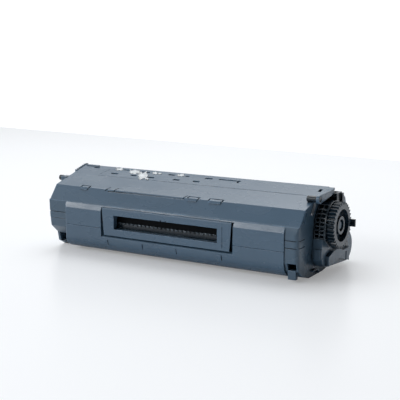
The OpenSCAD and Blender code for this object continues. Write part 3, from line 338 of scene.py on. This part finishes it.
def polyester_film(name, colour):
    """Thin plastic film: smooth, with faint waves."""
    s = Shader(name)
    s.link(s.mixed(s.ranged(s.noise(30, 2), 0, 0.3, 0.7, 0, 1), 0, shade(colour, 0.8), shade(colour, 1.2)), 2,
           s.surface, "Base Color")
    s.set(Roughness=0.22)
    s.bump(s.noise(45, 2), 0, 0.2, 0.2 * MM)
    return s.material


def lacquered_board(name, colour):
    """Circuit board lacquer over a faint weave."""
    s = Shader(name)
    s.link(s.mixed(s.ranged(s.noise(400, 2), 0, 0.3, 0.7, 0, 1), 0, shade(colour, 0.8), shade(colour, 1.25)), 2,
           s.surface, "Base Color")
    s.set(Roughness=0.35)
    s.bump(s.noise(1500, 1), 0, 0.15, 0.02 * MM, 0.1 * MM)
    return s.material


def torn_paper(name, colour):
    """Remains of a paper label: soft fibres, off-white."""
    s = Shader(name)
    s.link(s.mixed(s.ranged(s.noise(180, 5), 0, 0.35, 0.65, 0, 1), 0, shade(colour, 0.8), colour), 2,
           s.surface, "Base Color")
    s.set(Roughness=0.85, Specular_IOR_Level=0.2)
    s.bump(s.noise(900, 4), 0, 0.5, 0.08 * MM)
    return s.material


def all_materials(finishes):
    """One material for each slot of the record."""
    return {
        "shell": moulded_plastic("shell plastic", tuple(finishes.shell), finishes),
        "cap": moulded_plastic("end cap plastic", tuple(finishes.cap), finishes, roughness=0.29),
        # Black plastic whose edges of bars, pins and tabs carry a pale painted highlight
        "dark_plastic": moulded_plastic("black plastic", tuple(finishes.black), finishes, 0.22, 1.0,
                                        highlight_tone=linear(165, 182, 195)),
        "gear_plastic": smooth_plastic("gear plastic", tuple(finishes.gear), finishes),
        "bearing_plastic": smooth_plastic("bearing plastic", linear(222, 220, 210), finishes, 0.4),
        "steel": plated_steel("plated steel", linear(206, 209, 213), metallic=0.75),
        "rubber": matt_rubber("ground rubber", linear(38, 39, 41)),
        "film": polyester_film("polyester film", linear(30, 31, 34)),
        "magnet": matt_rubber("bonded magnet", linear(58, 57, 56), 0.6),
        "circuit_board": lacquered_board("board lacquer", linear(28, 92, 66)),
        "drum_coating": coated_drum("drum coating", linear(38, 128, 134)),
        "sleeve": plated_steel("blasted sleeve", linear(96, 97, 100), 0.55, (20, 20, 20)),
    }


class CARTRIDGE_OT_finishes(bpy.types.Operator):
    """Gives every moulded, turned and pressed part its material"""

    bl_idname = "cartridge.finishes"
    bl_label = "Finishes"

    def execute(self, context):
        finishes = context.scene.cartridge_finishes
        materials = all_materials(finishes)
        # The channel's upper half is the black darkened to 0.12 of itself: painted shade
        shadowed = channel_plastic("channel plastic", shade(tuple(finishes.black), 0.12), tuple(finishes.black))
        for part in frame["record"]["subparts"]:
            mesh = NODES[part["node"]].data
            mesh.materials.clear()
            mesh.materials.append(shadowed if part["node"] == CHANNEL else materials[part["material_slot"]])
        return {"FINISHED"}


def merged_copy(node, angle):
    """Copy of a CAD node with its corners joined, smooth wherever faces turn by less than an angle.

    The corners are rounded to a thousandth of a millimetre and counted once each; every triangle then
    names its three corners, and triangles that fall together to a line are left out.
    """
    source = NODES[node].data
    corners = np.empty(len(source.vertices) * 3)
    source.vertices.foreach_get("co", corners)
    faces = np.empty(len(source.loops), dtype=int)
    source.loops.foreach_get("vertex_index", faces)
    corners, index = np.unique(np.round(corners.reshape(-1, 3), 6), axis=0, return_inverse=True)
    faces = index.reshape(-1)[faces].reshape(-1, 3)
    whole = (faces[:, 0] != faces[:, 1]) & (faces[:, 1] != faces[:, 2]) & (faces[:, 2] != faces[:, 0])
    mesh = bpy.data.meshes.new(node + "_smooth")
    mesh.from_pydata(corners.tolist(), [], faces[whole].tolist())
    mesh.shade_smooth()
    mesh.set_sharp_from_angle(angle=angle)
    copy = bpy.data.objects.new(node + "_smooth", mesh)
    bpy.context.scene.collection.objects.link(copy)
    even = copy.modifiers.new("even shading", "WEIGHTED_NORMAL")
    even.keep_sharp = True
    even.weight = 100
    return copy


class CARTRIDGE_OT_smooth_shells(bpy.types.Operator):
    """Shows the shells with smooth bends in place of their facets"""

    bl_idname = "cartridge.smooth_shells"
    bl_label = "Smooth shells"

    def execute(self, context):
        angle = context.scene.cartridge_finishes.smooth
        bodies = {node: body for body, held in frame["record"]["behaviour"]["bodies"].items()
                  for node in held}
        for node in SMOOTH:
            copy = merged_copy(node, angle)
            copy.data.materials.append(NODES[node].data.materials[0])
            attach(copy, bodies[node])
            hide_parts(node)
        return {"FINISHED"}


def new_piece(name, points, faces, material, body):
    """Smooth piece of a mesh in the frame's own place, on a body, with a finish."""
    mesh = bpy.data.meshes.new(name)
    mesh.from_pydata(np.asarray(points).tolist(), [], np.asarray(faces).tolist())
    mesh.materials.append(material)
    mesh.shade_smooth()
    piece = bpy.data.objects.new(name, mesh)
    bpy.context.scene.collection.objects.link(piece)
    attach(piece, body)
    return piece


def grid_faces(rows, columns):
    """Four-cornered faces between the points of a grid, counted row by row."""
    at = np.arange(rows * columns).reshape(rows, columns)
    return np.stack([at[:-1, :-1], at[:-1, 1:], at[1:, 1:], at[1:, :-1]], axis=-1).reshape(-1, 4)


def paper_scrap(corners, phase, lift):
    """Points and faces of a scrap of paper that lies on the sloping top.

    A point at u along and v across the scrap is the weighted mean of its four corners. Both parameters are
    first moved by sines of each other that grow toward the edges, which tears the outline, and the height
    is the height of the top there, a small lift and a curl that grows with the fourth power toward the edges.
    """
    u, v = np.meshgrid(np.linspace(0, 1, 36), np.linspace(0, 1, 28), indexing="ij")
    torn = 0.09 * np.sin(11 * v + phase) + 0.07 * np.sin(27 * v + 3 * phase) + 0.04 * np.sin(61 * v)
    ragged = 0.13 * np.sin(9 * u + 2 * phase) + 0.08 * np.sin(31 * u + phase) + 0.05 * np.sin(73 * u)
    s = u + torn * (2 * u - 1)
    t = v + ragged * (2 * v - 1)
    a, b, c, d = (np.array(corner) * MM for corner in corners)
    plan = ((1 - s) * (1 - t))[..., None] * a + (s * (1 - t))[..., None] * b \
        + (s * t)[..., None] * c + ((1 - s) * t)[..., None] * d
    slope = (TOP_LINE[1, 1] - TOP_LINE[0, 1]) / (TOP_LINE[1, 0] - TOP_LINE[0, 0])
    height = TOP_LINE[0, 1] + slope * (plan[..., 1] - TOP_LINE[0, 0]) + lift
    height += 0.4 * lift * (2 + np.sin(3 * phase + 5 * u)) * ((2 * u - 1) ** 4 + 0.6 * (2 * v - 1) ** 4)
    points = np.dstack([plan, height]).reshape(-1, 3)
    return points, grid_faces(*u.shape)[:, ::-1]


class CARTRIDGE_OT_label_remains(bpy.types.Operator):
    """Adds the white scraps that a torn-off label left on the top"""

    bl_idname = "cartridge.label_remains"
    bl_label = "Label remains"

    def execute(self, context):
        paper = torn_paper("torn paper", linear(226, 231, 234))
        for name, corners, phase in PAPER:
            points, faces = paper_scrap(corners, phase, context.scene.cartridge_finishes.paper)
            scrap = new_piece(name, points, faces, paper, "frame")
            thick = scrap.modifiers.new("thickness", "SOLIDIFY")
            thick.thickness = 0.08 * MM
            thick.offset = 0
        return {"FINISHED"}


def soft_lamp(name, power, size, place, target):
    """Square lamp of a size at a place, turned to a target."""
    light = bpy.data.lights.new(name, "AREA")
    light.shape = "RECTANGLE"
    light.size, light.size_y = size
    light.energy = power
    lamp = bpy.data.objects.new(name, light)
    bpy.context.scene.collection.objects.link(lamp)
    lamp.location = place
    lamp.rotation_euler = (Vector(target) - Vector(place)).to_track_quat("-Z", "Y").to_euler()
    return lamp


def room_light(strength, dark):
    """White room that is darker above the front and right, but not to the camera's own rays."""
    world = bpy.data.worlds.new("room")
    bpy.context.scene.world = world
    world.use_nodes = True
    tree = world.node_tree
    tree.nodes.clear()

    def node(kind, *sources, **settings):
        made = tree.nodes.new(kind)
        for name, value in settings.items():
            setattr(made, name, value)
        for socket, source in enumerate(sources):
            if hasattr(source, "is_output"):
                tree.links.new(source, made.inputs[socket])
            else:
                made.inputs[socket].default_value = source
        return made.outputs["Value" if kind == "ShaderNodeVectorMath" else 0]

    path = tree.nodes.new("ShaderNodeLightPath").outputs
    mirrored = node("ShaderNodeMath", path["Is Glossy Ray"], path["Is Transmission Ray"],
                    operation="MAXIMUM")
    direction = tree.nodes.new("ShaderNodeTexCoord").outputs["Generated"]
    toward = node("ShaderNodeVectorMath", direction, DARK_SIDE, operation="DOT_PRODUCT")
    sky = node("ShaderNodeMapRange", toward, 0.0, 0.75, 1.0, 1.0 - dark)
    lit = node("ShaderNodeMath", sky, node("ShaderNodeMapRange", mirrored, 0.0, 1.0, strength, 1.0),
               operation="MULTIPLY")
    level = node("ShaderNodeMath", path["Is Camera Ray"], lit, operation="MAXIMUM")
    output = tree.nodes.new("ShaderNodeOutputWorld")
    tree.links.new(node("ShaderNodeBackground", (0.96, 0.98, 1, 1), level), output.inputs["Surface"])


def table_top(colour, haze):
    """Pale table: a flat sheet up to the rear edge that the photograph shows, paler to the camera by a share."""
    corners = np.array(TABLE_CORNERS)
    mesh = bpy.data.meshes.new("table")
    mesh.from_pydata(np.column_stack([corners, np.zeros(4)]).tolist(), [], [(0, 1, 2, 3)])
    table = bpy.data.objects.new("table", mesh)
    bpy.context.scene.collection.objects.link(table)
    s = Shader("table top")
    s.link(s.mixed(s.ranged(s.noise(3, 2), 0, 0.3, 0.7, 0, 1), 0, shade(colour, 0.985), colour), 2,
           s.surface, "Base Color")
    s.set(Roughness=0.28, Specular_IOR_Level=0.35)
    glow = s.node("ShaderNodeEmission", {"Color": (1, 1, 1, 1), "Strength": 1.0})
    seen = s.node("ShaderNodeMath", {1: haze}, operation="MULTIPLY")
    s.link(s.node("ShaderNodeLightPath"), "Is Camera Ray", seen, 0)
    paled = s.node("ShaderNodeMixShader")
    s.link(seen, 0, paled, 0)
    s.link(s.surface, 0, paled, 1)
    s.link(glow, 0, paled, 2)
    s.link(paled, 0, s.output, "Surface")
    mesh.materials.append(s.material)
    return table


class CARTRIDGE_OT_stage(bpy.types.Operator):
    """Sets the table, the lamps, the room light and the camera"""

    bl_idname = "cartridge.stage"
    bl_label = "Table, lamps and camera"

    def execute(self, context):
        stage = context.scene.cartridge_stage
        table_top(tuple(stage.table), stage.haze)
        room_light(stage.air, stage.dark)
        target = Vector(LOOK_AT)
        soft_lamp("key lamp", stage.key, target=target, **KEY_LAMP)
        soft_lamp("front lamp", stage.fill, target=target, **FRONT_LAMP)
        lens = bpy.data.cameras.new("camera")
        lens.lens = stage.lens
        lens.sensor_width = 36
        camera = bpy.data.objects.new("camera", lens)
        context.scene.collection.objects.link(camera)
        back = Vector((math.sin(stage.turn) * math.cos(stage.height),
                       -math.cos(stage.turn) * math.cos(stage.height), math.sin(stage.height)))
        camera.location = target + back * stage.distance
        camera.rotation_euler = (-back).to_track_quat("-Z", "Y").to_euler()
        context.scene.camera = camera
        context.scene.view_settings.view_transform = "Standard"
        return {"FINISHED"}


class CARTRIDGE_PT_panel(bpy.types.Panel):
    """Sizes, colours and steps of the cartridge model"""

    bl_idname = "CARTRIDGE_PT_panel"
    bl_label = "Toner cartridge"
    bl_space_type = "VIEW_3D"
    bl_region_type = "UI"
    bl_category = "Cartridge"

    def draw(self, context):
        for group in (context.scene.cartridge_finishes, context.scene.cartridge_stage):
            box = self.layout.box()
            for name in group.__annotations__:
                box.prop(group, name)
        for operator in OPERATORS:
            self.layout.operator(operator.bl_idname)


GROUPS = {"cartridge_finishes": CartridgeFinishes, "cartridge_stage": CartridgeStage}
OPERATORS = (CARTRIDGE_OT_finishes, CARTRIDGE_OT_smooth_shells, CARTRIDGE_OT_label_remains,
             CARTRIDGE_OT_stage)


def register():
    for name, group in GROUPS.items():
        bpy.utils.register_class(group)
        setattr(bpy.types.Scene, name, bpy.props.PointerProperty(type=group))
    for operator in OPERATORS:
        bpy.utils.register_class(operator)
    bpy.utils.register_class(CARTRIDGE_PT_panel)


def unregister():
    bpy.utils.unregister_class(CARTRIDGE_PT_panel)
    for operator in reversed(OPERATORS):
        bpy.utils.unregister_class(operator)
    for name, group in GROUPS.items():
        delattr(bpy.types.Scene, name)
        bpy.utils.unregister_class(group)


def main():
    """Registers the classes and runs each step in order."""
    register()
    for operator in OPERATORS:
        group, name = operator.bl_idname.split(".")
        getattr(getattr(bpy.ops, group), name)()


if __name__ == "__main__":
    main()
